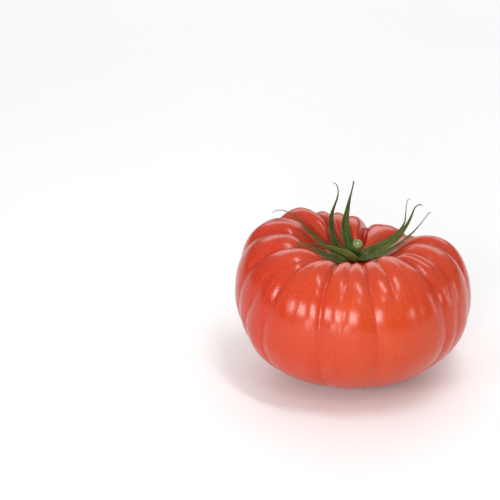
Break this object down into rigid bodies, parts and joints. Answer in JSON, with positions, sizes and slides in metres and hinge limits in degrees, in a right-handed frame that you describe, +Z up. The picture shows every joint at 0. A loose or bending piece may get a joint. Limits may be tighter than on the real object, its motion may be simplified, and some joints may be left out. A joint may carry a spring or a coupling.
{
  "type": "tomato",
  "caption": "Ribbed beefsteak tomato with a sunken stem cavity, curling green sepals and a short cut stem, standing on its blossom end.",
  "frame": {"origin": "on the surface the fruit stands on, at the centre of its flat blossom-end spot, under the axis of the stem cavity", "axes": "+Z up along the fruit's axis out of the stem cavity; the stem stub leans towards -Y, the front; +X is to the right seen from the front"},
  "size_m": [0.0997, 0.0959, 0.0789],
  "materials": {
    "skin": "glossy waxy skin",
    "stem": "matte, finely hairy",
    "sepal": "matte, finely hairy"
  },
  "bodies": {
    "root": {"fruit": "skin", "stem_stub": "stem", "sepal_left_high": "sepal", "sepal_left_low": "sepal", "sepal_left_folded": "sepal", "sepal_rear_hooked": "sepal", "sepal_rear_straight": "sepal", "sepal_right_thin": "sepal", "sepal_right_broad": "sepal", "sepal_right_low": "sepal"}
  },
  "joints": []
}
